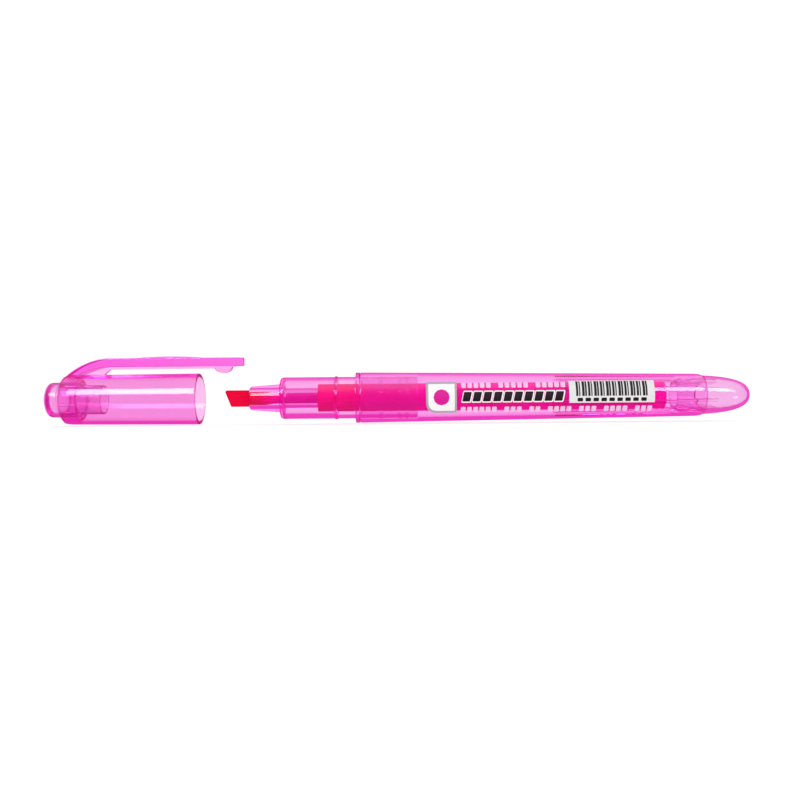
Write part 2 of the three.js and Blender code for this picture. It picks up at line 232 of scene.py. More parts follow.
def plate(name, outline, width):
    """Fills a closed outline of (along, out) points and pulls it out to a width across the pen."""
    corners = [place(along, out, -width / 2) for along, out in outline]
    piece = fill(draw(name, corners + [corners[0]]))
    bpy.ops.mesh.extrude_region_move(TRANSFORM_OT_translate={"value": (0, width * MM, 0)})
    return finish_mesh(piece)


facet = 2 * BARREL_RADIUS * math.sin(math.pi / 96)
print("96 steps make facets of", round(facet, 2), "mm on the barrel")

# %% [markdown]
# ## Joining and cutting
# Ribs are moulded in one with their wall, so the join must leave a single skin: light would
# break at any face left inside. The Boolean modifier with its exact solver does that, and it is
# applied at once. Bevel, limited to sharp edges, rounds a piece that wasn't drawn with fillets.

# %% Apply, combine and soften
def apply_modifiers(piece):
    deselect()
    piece.select_set(True)
    bpy.context.view_layer.objects.active = piece
    for modifier in list(piece.modifiers):
        bpy.ops.object.modifier_apply(modifier=modifier.name)
    return piece


def combine(piece, other, operation):
    """Joins or cuts piece with other, which is used up."""
    modifier = piece.modifiers.new(operation.title(), "BOOLEAN")
    modifier.operation = operation
    modifier.solver = "EXACT"
    modifier.object = other
    apply_modifiers(piece)
    bpy.data.objects.remove(other, do_unlink=True)
    print(piece.name, operation.lower(), "leaves", len(piece.data.polygons), "faces")
    return piece


def soften(piece, width, segments=3, angle=30):
    """Rounds every edge that is sharper than the angle."""
    modifier = piece.modifiers.new("Soften", "BEVEL")
    modifier.width = width * MM
    modifier.segments = segments
    modifier.limit_method = "ANGLE"
    modifier.angle_limit = math.radians(angle)
    return apply_modifiers(piece)


print("solver: EXACT")

# %% [markdown]
# ## Copies round the axis
# Ribs and flutes repeat at even steps round the pen. One is modelled, and each copy gets a mesh
# of its own, turned in edit mode so that its object stays at the origin. The turn needs its
# centre stated, because without a window the pivot setting is ignored.

# %% Spread one piece round the axis
def spread_round(piece, count):
    """Copies piece to count even places round the pen's axis and joins the copies."""
    copies = [piece]
    for _ in range(1, count):
        copy = piece.copy()
        copy.data = piece.data.copy()
        bpy.context.collection.objects.link(copy)
        copies.append(copy)
    for i, copy in enumerate(copies):
        deselect()
        copy.select_set(True)
        bpy.context.view_layer.objects.active = copy
        bpy.ops.object.mode_set(mode="EDIT")
        bpy.ops.mesh.select_all(action="SELECT")
        bpy.ops.transform.rotate(
            value=(i + 0.5) * 2 * math.pi / count,
            orient_axis="X",
            center_override=(0, 0, AXIS),
        )
        bpy.ops.object.mode_set(mode="OBJECT")
    deselect()
    for copy in copies:
        copy.select_set(True)
    bpy.context.view_layer.objects.active = piece
    bpy.ops.object.join()
    print(piece.name, "x", count)
    return piece


print("8 copies stand", 360 / 8, "degrees apart")

# %% [markdown]
# ## Clear pink plastic
# The caps and tubes are tinted clear plastic. A transmissive surface with the index of
# polystyrene bends the light, and an absorbing volume inside it deepens the colour where the
# wall is seen edge-on, which draws the dark outlines of every tube. A flat transparent mix would
# be quicker, but its edges would stay as pale as its middle. A faint flow ripple in the surface
# keeps the highlights from being ruler-straight, as on any moulded wall.

# %% A clear plastic with depth
def new_material(name):
    material = bpy.data.materials.new(name)
    material.use_nodes = True
    nodes = material.node_tree.nodes
    return material, nodes, material.node_tree.links, nodes["Principled BSDF"]


DEPTH_PINK = (0.985, 0.06, 0.9)


def clear_plastic(name, tint, density, roughness):
    """tint is the colour of each surface; density is how fast DEPTH_PINK builds up inside."""
    material, nodes, links, shader = new_material(name)
    shader.inputs["Base Color"].default_value = (*tint, 1)
    shader.inputs["Roughness"].default_value = roughness
    shader.inputs["IOR"].default_value = 1.49
    shader.inputs["Transmission Weight"].default_value = 1.0
    place_in = nodes.new("ShaderNodeTexCoord")
    flow = nodes.new("ShaderNodeTexNoise")
    flow.inputs["Scale"].default_value = 900
    flow.inputs["Detail"].default_value = 3
    links.new(place_in.outputs["Object"], flow.inputs["Vector"])
    bump = nodes.new("ShaderNodeBump")
    bump.inputs["Strength"].default_value = 0.02
    bump.inputs["Distance"].default_value = 0.00002
    links.new(flow.outputs["Fac"], bump.inputs["Height"])
    links.new(bump.outputs["Normal"], shader.inputs["Normal"])
    absorb = nodes.new("ShaderNodeVolumeAbsorption")
    absorb.inputs["Color"].default_value = (*DEPTH_PINK, 1)
    absorb.inputs["Density"].default_value = density
    links.new(absorb.outputs["Volume"], nodes["Material Output"].inputs["Volume"])
    print(name, "density", density)
    return material


print("depth colour", DEPTH_PINK)

# %% [markdown]
# ## One tint for each moulding
# The mouldings come from different moulds and the same family of plastic. The cap is the
# deepest pink, the barrel and the section have a paler tint, painted light that stands for the
# glowing rod behind them, the inner cap is a softer, slightly frosted plastic, and the tail plug
# has the least colour in its depth.

# %% The five plastics
cap_plastic = clear_plastic("clear_pink_cap", (0.945, 0.75, 0.87), 400, 0.045)
# Barrel and section: a paler tint, painted light for the glowing rod behind them.
barrel_plastic = clear_plastic("clear_pink_barrel", (0.99, 0.80, 0.945), 260, 0.045)
section_plastic = clear_plastic("clear_pink_section", (0.98, 0.81, 0.925), 190, 0.045)
inner_plastic = clear_plastic("frosted_pink_inner", (0.975, 0.76, 0.925), 120, 0.18)
tail_plastic = clear_plastic("clear_pink_tail", (0.94, 0.71, 0.9), 25, 0.07)

# %% [markdown]
# ## Ink-soaked fibre
# The nib and the rod are bundles of fibre full of fluorescent ink. Such ink gives back more
# light than falls on it, so the fibre has emission in its own colour. That emission is partly
# the fluorescence and partly painted light, which lifts the fibre where the walls round it leave
# it in shade. Noise stretched along the pen makes the strands, in colour and in bump. The colour
# goes over from one to another along X: the nib is darker and redder where it stands bare and
# paler magenta inside the holder, and the rod is darker in front of the flange, a painted shade.

# %% Strands in the colour
STRAND_HEIGHT = 0.00005  # metres


def weave_strands(nodes, links, shader, dye_and_painted_shade, strands):
    """Streaks the colour with the strands, and raises the strands a little."""
    shade = nodes.new("ShaderNodeMapRange")
    shade.inputs["From Min"].default_value = 0.35
    shade.inputs["From Max"].default_value = 0.6
    shade.inputs["To Min"].default_value = 0.86
    links.new(strands.outputs["Fac"], shade.inputs["Value"])
    streaked = nodes.new("ShaderNodeVectorMath")
    streaked.operation = "SCALE"
    links.new(dye_and_painted_shade.outputs[2], streaked.inputs[0])
    links.new(shade.outputs["Result"], streaked.inputs["Scale"])
    links.new(streaked.outputs["Vector"], shader.inputs["Base Color"])
    # The streaked colour feeds the emission too, which is partly painted light.
    links.new(streaked.outputs["Vector"], shader.inputs["Emission Color"])
    bump = nodes.new("ShaderNodeBump")
    bump.inputs["Strength"].default_value = 0.3
    bump.inputs["Distance"].default_value = STRAND_HEIGHT
    links.new(strands.outputs["Fac"], bump.inputs["Height"])
    links.new(bump.outputs["Normal"], shader.inputs["Normal"])


print("strands stand", STRAND_HEIGHT / MM, "mm high")

# %% A fibre whose colour changes along the pen
def fibre(name, colour, inner_colour, change, stretch, roughness, fluorescence_and_painted_glow):
    """colour goes over to inner_colour between the two stations of change."""
    material, nodes, links, shader = new_material(name)
    place_in = nodes.new("ShaderNodeTexCoord")
    along = nodes.new("ShaderNodeSeparateXYZ")
    links.new(place_in.outputs["Object"], along.inputs["Vector"])
    depth = nodes.new("ShaderNodeMapRange")
    depth.inputs["From Min"].default_value = place(change[0], 0)[0]
    depth.inputs["From Max"].default_value = place(change[1], 0)[0]
    links.new(along.outputs["X"], depth.inputs["Value"])
    # This mix also carries the rod's painted shade, darker in front of the flange.
    dye_and_painted_shade = nodes.new("ShaderNodeMix")
    dye_and_painted_shade.data_type = "RGBA"
    dye_and_painted_shade.inputs[6].default_value = (*colour, 1)
    dye_and_painted_shade.inputs[7].default_value = (*inner_colour, 1)
    links.new(depth.outputs["Result"], dye_and_painted_shade.inputs["Factor"])
    mapping = nodes.new("ShaderNodeMapping")
    mapping.inputs["Scale"].default_value = stretch
    links.new(place_in.outputs["Object"], mapping.inputs["Vector"])
    strands = nodes.new("ShaderNodeTexNoise")
    strands.inputs["Scale"].default_value = 2500
    strands.inputs["Detail"].default_value = 4
    links.new(mapping.outputs["Vector"], strands.inputs["Vector"])
    weave_strands(nodes, links, shader, dye_and_painted_shade, strands)
    # Emission: partly the ink's fluorescence, partly painted light that lifts the fibre in shade.
    shader.inputs["Emission Strength"].default_value = fluorescence_and_painted_glow
    shader.inputs["Roughness"].default_value = roughness
    shader.inputs["Specular IOR Level"].default_value = 0.03
    print(name, "changes colour from", round(change[0], 1), "to", round(change[1], 1), "mm")
    return material


print(round(HOLDER_FRONT - NIB_TIP, 1), "mm of the nib stand bare in front of the holder")

# %% The nib's fibre and the rod's
NIB_CHANGE = (HOLDER_FRONT + 2, HOLDER_FRONT + 10)
ROD_PAINTED_SHADE_FADE = (-1, 3)
nib_fibre = fibre("nib_fibre", (0.70, 0.0, 0.035), (0.88, 0.0, 0.40), NIB_CHANGE,
                  stretch=(0.15, 1, 1), roughness=0.6, fluorescence_and_painted_glow=0.29)
# The rod's first colour, in front of the flange, is darker than its second: a painted shade.
rod_fibre = fibre("rod_fibre", (0.68, 0.0, 0.15), (0.84, 0.0, 0.30), ROD_PAINTED_SHADE_FADE,
                  stretch=(0.1, 1, 1), roughness=0.7, fluorescence_and_painted_glow=0.42)

# %% [markdown]
# ## Dressing a piece
# A finished piece needs its plastic, the body that it moves with, and the plain solids that it
# stands in for. One short function does all three, so that no piece is left without any of them.

# %% Material, body and plain solid
def dress(piece, material, body, slot, *nodes):
    """body is None for a piece that is attached to no body."""
    piece.data.materials.clear()
    piece.data.materials.append(material)
    if body:
        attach(piece, body)
    if nodes:
        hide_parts(*nodes)
    print(piece.name, "wears", material.name)
    return piece


print(len(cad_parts), "plain solids wait for their pieces")

# %% [markdown]
# ## Barrel
# The barrel is one long thin tube, slightly thinner towards the tail, with its bore stepped at
# the front for the section's plug. Its whole wall, outside and inside, is one closed outline
# that starts and ends in the bore, so a single spin makes it.

# %% The barrel's wall
BARREL_SOCKET = BARREL_RADIUS - 0.95
PLUG_BORE_END = PLUG_END + 0.1
BARREL_BORE = 5.15
BARREL_REAR_RADIUS = 5.4
BARREL_REAR_BORE = 4.45
RIB_END = SPIGOT_FRONT - 0.1
barrel = turn("barrel_tube", rounded([
    (BARREL_FRONT, BARREL_SOCKET, 0.1),
    (BARREL_FRONT, BARREL_RADIUS, 0.3),
    (BARREL_REAR - 1.9, BARREL_REAR_RADIUS, 1.0),
    (BARREL_REAR - 0.5, BARREL_REAR_RADIUS - 0.15, 0.5),
    (BARREL_REAR, BARREL_REAR_RADIUS - 0.42, 0.1),
    (BARREL_REAR, BARREL_REAR_BORE, 0),
    (RIB_END, BARREL_REAR_BORE, 0),
    (PLUG_BORE_END, BARREL_BORE, 0),
    (PLUG_BORE_END, BARREL_SOCKET, 0),
    (BARREL_FRONT, BARREL_SOCKET, 0),
]))

# %% [markdown]
# ## Barrel ribs
# Inside the rear third of the barrel, eight thin ribs hold the rod in the middle. Their front
# ends slope, so that the rod finds its way in. One rib is a flat outline pulled out to 0.6 mm.

# %% Eight ribs in the barrel
RIB_START = RIB_END - 30.3
RIB_SLOPE = 2.0
RIB_TOP = ROD_RADIUS + 0.15
RIB_THICKNESS = 0.6
RIBS = 8
rib = plate("rib", [
    (RIB_START, 5.3),
    (RIB_START, 4.75),
    (RIB_START + RIB_SLOPE, RIB_TOP),
    (RIB_END, RIB_TOP),
    (RIB_END, 4.9),
], RIB_THICKNESS)
combine(barrel, spread_round(rib, RIBS), "UNION")
dress(finish_mesh(barrel), barrel_plastic, "pen", "clear_pink_body", "barrel")

# %% [markdown]
# ## Inks for the print
# Screen-printed ink is nearly flat and slightly uneven, thinner in some specks than in others.
# A fine noise moves each ink between its colour and a slightly weaker one.

# %% Printing inks
def ink(name, colour, patch, roughness=0.5):
    material, nodes, links, shader = new_material(name)
    place_in = nodes.new("ShaderNodeTexCoord")
    noise = nodes.new("ShaderNodeTexNoise")
    noise.inputs["Scale"].default_value = 1800
    noise.inputs["Detail"].default_value = 5
    links.new(place_in.outputs["Object"], noise.inputs["Vector"])
    ramp = nodes.new("ShaderNodeValToRGB")
    ramp.color_ramp.elements[0].color = (*patch, 1)
    ramp.color_ramp.elements[0].position = 0.3
    ramp.color_ramp.elements[1].color = (*colour, 1)
    ramp.color_ramp.elements[1].position = 0.5
    links.new(noise.outputs["Fac"], ramp.inputs["Fac"])
    links.new(ramp.outputs["Color"], shader.inputs["Base Color"])
    shader.inputs["Roughness"].default_value = roughness
    shader.inputs["Specular IOR Level"].default_value = 0.2
    print(name)
    return material


white_ink = ink("white_ink", (0.93, 0.93, 0.93), (0.85, 0.85, 0.85))
grey_ink = ink("grey_ink", (0.42, 0.42, 0.44), (0.36, 0.36, 0.38))
pale_ink = ink("pale_grey_ink", (0.78, 0.78, 0.78), (0.72, 0.72, 0.72))
black_ink = ink("black_ink", (0.006, 0.006, 0.007), (0.012, 0.012, 0.012), 0.55)
magenta_ink = ink("magenta_ink", (0.72, 0.0, 0.3), (0.65, 0.0, 0.26))
lilac_ink = ink("lilac_ink", (0.86, 0.55, 0.8), (0.8, 0.45, 0.74))

# %% [markdown]
# ## Pressing a print onto the barrel
# A print is a skin of ink a hundredth of a millimetre thick that follows the barrel. It could be
# a pattern in the barrel's material, but then ink and clear wall would share one shader. So each
# print is drawn flat in front of the barrel, cut into narrow bands that can bend, dropped onto
# the wall with Shrinkwrap and thickened with Solidify. Layers sit a little above each other.

# %% Wrap a flat print
PRINT_FRONT = -9  # flat prints are drawn this far in front of the axis
INK = 0.01
LAYERS = (0.012, 0.026, 0.04)  # heights above the barrel, from the first ink to the last
BAND = 0.5
BANDS_EACH_WAY = 9


def press(piece, layer, colour):
    """Wraps a flat print, still in edit mode, onto the barrel as a thin skin of ink."""
    bpy.ops.mesh.select_all(action="SELECT")
    bpy.ops.mesh.normals_make_consistent(inside=False)
    for level in range(-BANDS_EACH_WAY, BANDS_EACH_WAY + 1):
        bpy.ops.mesh.select_all(action="SELECT")
        bpy.ops.mesh.bisect(plane_co=place(0, level * BAND), plane_no=(0, 0, 1))
    bpy.ops.object.mode_set(mode="OBJECT")
    wrap = piece.modifiers.new("Wrap", "SHRINKWRAP")
    wrap.target = barrel
    wrap.wrap_method = "PROJECT"
    wrap.use_project_y = True
    wrap.use_positive_direction = True
    wrap.use_negative_direction = False
    wrap.offset = LAYERS[layer] * MM
    skin = piece.modifiers.new("Skin", "SOLIDIFY")
    skin.thickness = INK * MM
    skin.offset = 1
    apply_modifiers(piece)
    front = min(v.co.y for v in piece.data.vertices) / MM
    print(piece.name, len(piece.data.polygons), "faces, front at", round(front, 2), "mm")
    return dress(piece, colour, "pen", "clear_pink_body")


print("prints lie", LAYERS, "mm above the barrel")

# %% [markdown]
# ## The badge
# The front of the print is a small badge, a grey edge, a white field and a magenta dot, with its
# lower front corner round. It is a plain made-up layout that stands for the real one.

# %% A panel with one round corner
def badge(name, low, high, bottom, top, layer, colour, corner):
    outline = rounded([(high, bottom, 0), (low, bottom, corner), (low, top, 0.3), (high, top, 0)])
    points = [place(along, out, PRINT_FRONT) for along, out in outline]
    return press(fill(draw(name, points + points[:1])), layer, colour)


badge("badge_border", 17.69, 25.29, -4.00, 3.70, 0, grey_ink, 2.6)
badge("badge_field", 18.24, 24.79, -3.48, 3.20, 1, white_ink, 2.2)

# %% [markdown]
# ## Rows of marks
# The rest of the print is rows of small marks. In place of any wording there are plain blocks
# and bars, at the height and spacing that lines of print would have. Every mark is a plane at
# its size and place, and a row of them is one piece. Leaning marks have their upper corners
# moved along the pen, and bevelled corners make small blocks softer.

# %% Lay out and print a row
def row(start, pitch, widths, bottom, top, count, gaps=()):
    """Marks as (from, to, bottom, top); gaps are the places in the row left empty."""
    places = [i for i in range(count) if i not in gaps]
    return [(start + pitch * i, start + pitch * i + widths[i % len(widths)], bottom, top)
            for i in places]


def printed(name, marks, layer, colour, slant=0.0, corner=0.0):
    deselect()
    bpy.ops.mesh.primitive_plane_add(size=MM, location=(0, 0, 0))
    piece = bpy.context.object
    piece.name = name
    bpy.ops.object.mode_set(mode="EDIT")
    bpy.ops.mesh.delete(type="VERT")
    for low, high, bottom, top in marks:
        middle = place((low + high) / 2, (bottom + top) / 2, PRINT_FRONT)
        bpy.ops.mesh.primitive_plane_add(size=MM, location=middle, rotation=(math.pi / 2, 0, 0))
        bpy.ops.transform.resize(value=(high - low, 1, top - bottom), center_override=middle)
    if slant:
        bpy.ops.mesh.select_all(action="DESELECT")
        bpy.ops.object.mode_set(mode="OBJECT")
        half = place(0, (marks[0][2] + marks[0][3]) / 2)[2]
        for vertex in piece.data.vertices:
            vertex.select = vertex.co.z > half
        bpy.ops.object.mode_set(mode="EDIT")
        bpy.ops.transform.translate(value=(slant * MM, 0, 0))
    if corner:
        bpy.ops.mesh.select_all(action="SELECT")
        bpy.ops.mesh.bevel(offset=corner * MM, segments=3, affect="VERTICES")
    return press(piece, layer, colour)


print("a row of 3 marks:", row(0, 2, (1,), 0, 1, 3))

# %% The rows beside the badge
printed("badge_dot", [(19.53, 23.50, -2.11, 1.86)], 2, magenta_ink, corner=1.9)
printed("small_row_top", row(26.45, 1.551, (1.142,), 2.16, 3.50, 17, (5, 11)),
        0, lilac_ink, corner=0.25)
printed("small_row_bottom",
        row(26.33, 1.556, (1.167,), -3.90, -2.56, 31, (6, 10, 13, 18, 22, 27)),
        0, lilac_ink, corner=0.25)
printed("bold_row_halo", row(26.38, 2.556, (2.432,), -1.51, 1.46, 10),
        0, white_ink, slant=0.6, corner=0.3)
printed("bold_row", row(26.63, 2.556, (1.936,), -1.22, 1.17, 10),
        1, black_ink, slant=0.5, corner=0.2)

# %% The panel of bars
printed("bar_panel", [(53.31, 74.68, -1.76, 3.75)], 0, pale_ink)
printed("bars", row(55.02, 0.757, (0.546, 0.298, 0.62, 0.422), -0.07, 3.60, 24), 1, black_ink)
printed("bar_caption", row(55.37, 1.986, (1.365,), -1.42, -0.52, 9), 1, black_ink, corner=0.2)

# %% [markdown]
# ## Tail plug
# The tail is a hollow round-nosed plug, pushed into the barrel's rear on a spigot. Both its
# domes are long sweeps, which a row of fillets couldn't give, and its inner dome starts and its
# outer dome ends on the axis, so the spin closes both. The wall thins towards the tip.

# %% The tail plug's wall
SPIGOT_RADIUS = BARREL_REAR_BORE - 0.1
SPIGOT_BORE = SPIGOT_RADIUS - 0.9
TAIL_FRONT = BARREL_REAR + 0.1
INNER_END = TAIL_END - 0.6
tail_outside = sweep(
    (TAIL_FRONT, TAIL_RADIUS),
    (TAIL_FRONT + 6.7, TAIL_RADIUS * 0.93),
    (TAIL_END, TAIL_RADIUS * 0.73),
    (TAIL_END, 0.6),
    24,
)
tail_inside = sweep(
    (INNER_END, 0.0),
    (INNER_END, SPIGOT_BORE * 0.85),
    (TAIL_FRONT + 6, SPIGOT_BORE),
    (TAIL_FRONT, SPIGOT_BORE),
    16,
)
tail = turn("tail_end_plug", tail_inside + [
    (SPIGOT_FRONT, SPIGOT_BORE),
    (SPIGOT_FRONT, SPIGOT_BORE + 0.3),
    (SPIGOT_FRONT + 1.4, SPIGOT_RADIUS),
    (TAIL_FRONT, SPIGOT_RADIUS),
] + tail_outside + [(TAIL_END, 0.0)])

# %% [markdown]
# ## Tail ribs
# Eight low ribs stiffen the spigot and run out in the dome. They are joined as the barrel's are.

# %% Eight ribs in the tail plug
tail_rib = plate("tail_rib", [
    (SPIGOT_FRONT + 0.1, SPIGOT_BORE + 0.3),
    (SPIGOT_FRONT + 0.1, SPIGOT_BORE - 0.4),
    (TAIL_FRONT + 2.5, SPIGOT_BORE - 0.4),
    (TAIL_FRONT + 4.5, SPIGOT_BORE + 0.3),
], RIB_THICKNESS)
combine(tail, spread_round(tail_rib, RIBS), "UNION")
dress(finish_mesh(tail), tail_plastic, "pen", "clear_pink_body", "tail_plug")

# %% [markdown]
# ## Section
# The section is the part that the fingers hold. It is one moulding from the thin nib holder,
# over the step where the cap's seal reaches, to the grip with the bead that the cap snaps over,
# the flange that it stops at, and the plug that goes into the barrel. Snap rings on the plug hold
# it there. The rings are tiny, but each one shows as a fine line through the barrel.

# %% The section's wall
GRIP = 5.3
HOLDER_TIP, HOLDER_ROOT = 3.0, 3.6
PLUG = 5.25
NIB_HOLE, HOLDER_BORE, GRIP_BORE, PLUG_BORE = 1.8, 2.5, 4.0, 4.4
SHOULDER = -19.1
BEAD = -5.0
FLANGE_END = 1.1
RING_HEIGHT = 0.15


def snap_ring(start):
    """A ring on the plug, 0.7 mm wide at its foot and half as wide at its top."""
    top = PLUG + RING_HEIGHT
    return [
        (start, PLUG, 0.1),
        (start + 0.25, top, 0.05),
        (start + 0.5, top, 0.05),
        (start + 0.7, PLUG, 0.1),
    ]


section = turn("grip_section", rounded([
    (HOLDER_FRONT, NIB_HOLE, 0.15),
    (HOLDER_FRONT, HOLDER_TIP, 0.6),
    (SHOULDER, HOLDER_ROOT, 0.2),
    (SHOULDER, GRIP, 0.9),
    (BEAD - 0.4, GRIP, 0.1),
    (BEAD - 0.2, GRIP + 0.2, 0.1),
    (BEAD + 0.2, GRIP + 0.2, 0.1),
    (BEAD + 0.4, GRIP, 0.1),
    (0, GRIP, 0.1),
    (0, BARREL_RADIUS, 0.2),
    (FLANGE_END, BARREL_RADIUS, 0.2),
    (FLANGE_END, PLUG, 0.1),
    *snap_ring(6.0),
    *snap_ring(10.8),
    *snap_ring(12.5),
    (PLUG_END, PLUG, 0.2),
    (PLUG_END, PLUG_BORE, 0.2),
    (BEAD, PLUG_BORE, 0.2),
    (BEAD, GRIP_BORE, 0.1),
    (SHOULDER + 0.9, GRIP_BORE, 0.6),
    (SHOULDER + 0.9, HOLDER_BORE, 0.2),
    (ROD_FRONT - 0.1, HOLDER_BORE, 0.1),
    (ROD_FRONT - 0.1, NIB_HOLE, 0.1),
    (HOLDER_FRONT, NIB_HOLE, 0),
]))
dress(section, section_plastic, "pen", "clear_pink_body", "section")

# %% [markdown]
# ## Nib
# The nib is a slab of felted fibre, cut slantwise to a chisel, on a round shaft that reaches
# into the rod and draws the ink. The slab is a flat outline pulled out to its thickness and
# softened all round, and the shaft is spun; joined, they are one piece, as the real one is.

# %% Chisel and shaft
NIB_HALF = 2.1
NIB_THICKNESS = 3
NIB_CORNER = 0.35
NIB_SLANT = 1.56
SHAFT_FRONT, SHAFT_REAR = 1.7, 1.35
blade = plate("nib_chisel", [
    (NIB_TIP + NIB_CORNER, NIB_HALF),
    (NIB_TIP, NIB_HALF - NIB_CORNER),
    (NIB_TIP + NIB_SLANT, -NIB_HALF),
    (HOLDER_FRONT - 0.1, -NIB_HALF),
    (HOLDER_FRONT - 0.1, NIB_HALF),
], NIB_THICKNESS)
soften(blade, 0.25)
shaft = turn("shaft", [
    (HOLDER_FRONT - 0.2, 0),
    (HOLDER_FRONT - 0.2, SHAFT_FRONT - 0.3),
    (HOLDER_FRONT, SHAFT_FRONT),
    (HOLDER_FRONT + 4.3, SHAFT_FRONT),
    (HOLDER_FRONT + 6.3, SHAFT_REAR),
    (NIB_END, SHAFT_REAR),
    (NIB_END, 0),
], 48)
combine(blade, shaft, "UNION")
dress(finish_mesh(blade), nib_fibre, "pen", "nib_fibre", "nib")

# %% [markdown]
# ## Ink rod and its film
# The rod is a bundle of fibre that holds the ink, bored at its front for the nib's shaft. A thin
# film sleeve keeps the bundle together. Both are soaked, so they share the wet fibre finish.

# %% Rod and film
ROD_HOLE = SHAFT_REAR + 0.1
ROD_HOLE_END = ROD_FRONT + 4.1
FILM_BORE = ROD_RADIUS - 0.2
FIBRE_RADIUS = FILM_BORE - 0.1
rod = turn("ink_rod", rounded([
    (ROD_HOLE_END, 0, 0),
    (ROD_HOLE_END, ROD_HOLE, 0),
    (ROD_FRONT, ROD_HOLE, 0.1),
    (ROD_FRONT, FIBRE_RADIUS, 0.2),
    (ROD_REAR, FIBRE_RADIUS, 0.3),
    (ROD_REAR, 0, 0),
]), 64)
dress(rod, rod_fibre, "pen", "reservoir_fibre", "reservoir_core")
film = turn("rod_film", rounded([
    (ROD_FRONT, FILM_BORE, 0),
    (ROD_FRONT, ROD_RADIUS, 0.05),
    (ROD_REAR, ROD_RADIUS, 0.05),
    (ROD_REAR, FILM_BORE, 0),
    (ROD_FRONT, FILM_BORE, 0),
]), 64)
dress(film, rod_fibre, "pen", "reservoir_film", "reservoir_film")

# %% [markdown]
# ## Inner cap
# A second, softer cup inside the cap seals the nib. Its closed end stands out of the cap's rear
# as a round crown, a collar stops it from sliding through, and a thin sleeve reaches forward
# to the nib holder. Flutes let it be pressed in and let air past. They are cut out of the spun
# cup with one bar, copied twelve times.

# %% The fluted inner cup
CUP = 4.45
CUP_BORE = 3.35
CUP_FLOOR = CROWN_END + 1.2
CUP_FRONT = CAP_REAR + 4.3
COLLAR = CUP + 0.4
SLEEVE = 3.7
CROWN_FLAT = 1.7
FLUTES, FLUTE_WIDTH = 12, 0.8
inner = turn("inner_cap_crown", rounded([
    (CROWN_END, 0, 0),
    (CROWN_END, CROWN_FLAT, 0),
    (CROWN_END + 0.3, CUP, 2.6),
    (CAP_REAR - 0.9, CUP, 0.1),
    (CAP_REAR - 0.5, COLLAR, 0.1),
    (CAP_REAR - 0.1, COLLAR, 0.1),
    (CAP_REAR - 0.1, CUP, 0),
    (CUP_FRONT, CUP, 0.2),
    (CUP_FRONT, SLEEVE, 0.1),
    (SLEEVE_MOUTH, SLEEVE, 0.1),
    (SLEEVE_MOUTH, CUP_BORE, 0.1),
    (CUP_FLOOR, CUP_BORE, 1.2),
    (CUP_FLOOR, 0, 0),
], 6))
flute = plate("flute", [
    (CAP_REAR + 0.2, CUP - 0.25),
    (CAP_REAR + 0.2, CUP + 0.35),
    (CUP_FRONT + 0.3, CUP + 0.35),
    (CUP_FRONT + 0.3, CUP - 0.25),
], FLUTE_WIDTH)
combine(inner, spread_round(flute, FLUTES), "DIFFERENCE")
dress(finish_mesh(inner), inner_plastic, "cap", "inner_cap_pink", "inner_cap")

# %% [markdown]
# ## Cap
# The cap is a tube, open at both ends, thick at the rear where it grips the inner cap. Its rim
# is rounded more outside than inside, and the round edge gathers the deep pink into a ring. One
# closed outline and one spin again.

# %% The cap's tube
CAP_REAR_RADIUS = 5.55
CAP_OUTSIDE = [
    (CAP_REAR, CAP_REAR_RADIUS, 0.1),
    (CAP_REAR + 0.5, 6.15, 0.6),
    (CAP_REAR + 2.0, 6.3, 0.8),
]
CAP_SOCKET = CUP + 0.1
CAP_BORE = 5.65
cap = turn("clear_cap", rounded([
    (CAP_REAR, CAP_SOCKET, 0),
    *CAP_OUTSIDE,
    (CAP_MOUTH, CAP_RADIUS, 0.4),
    (CAP_MOUTH, CAP_BORE + 0.2, 0.08),
    (CAP_MOUTH - 0.35, CAP_BORE, 0.12),
    (CUP_FRONT, CAP_BORE - 0.2, 0.4),
    (CUP_FRONT, CAP_SOCKET, 0.2),
    (CAP_REAR, CAP_SOCKET, 0),
]))
dress(cap, cap_plastic, "cap", "clear_pink_cap", "cap_shell")

# %% [markdown]
# ## Clip bar
# The clip sweeps up out of the cap's rear and runs forward as a flat bar, a little narrower at
# its tip. The bar is one outline pulled out to its width. Bisecting it at the end of the sweep
# lets the tip be narrowed without twisting the faces of the bend, and the tip's upright edges
# get a wide bevel before all the edges get a small one.

# %% The bar
CLIP_TOP = 10.45
CLIP_UNDER = 8.35
CLIP_WIDTH = 4.6
CLIP_TIP_WIDTH = 4.0
TIP_CORNER = 1.5
CLIP_EDGE = 0.35
ARC_END = CAP_REAR + 11.9
bar_top = sweep(
    (CAP_REAR + 0.3, 5.2), (CAP_REAR + 2, 7.3), (ARC_END - 5, CLIP_TOP), (ARC_END, CLIP_TOP), 14)
bar_tip = [(CLIP_TIP, CLIP_TOP), (CLIP_TIP, CLIP_UNDER)]
bar_under = sweep(
    (ARC_END, CLIP_UNDER), (ARC_END - 3, CLIP_UNDER), (CAP_REAR + 5.5, 6.95), (CAP_REAR + 3.2, 5.7))
clip = plate("pocket_clip", bar_top + bar_tip + bar_under, CLIP_WIDTH)


def select_tip(edges_only):
    """Selects the bar's corners at its tip, or only the upright edges there."""
    bpy.ops.object.mode_set(mode="EDIT")
    bpy.ops.mesh.select_mode(type="EDGE" if edges_only else "VERT")
    bpy.ops.mesh.select_all(action="DESELECT")
    bpy.ops.object.mode_set(mode="OBJECT")
    for edge in clip.data.edges:
        ends = [clip.data.vertices[i] for i in edge.vertices]
        at_tip = all(abs(station(end.co.x) - CLIP_TIP) < 0.01 for end in ends)
        upright = abs(ends[0].co.z - ends[1].co.z) > MM
        if edges_only:
            edge.select = at_tip and upright
        elif at_tip:
            for end in ends:
                end.select = True
    bpy.ops.object.mode_set(mode="EDIT")


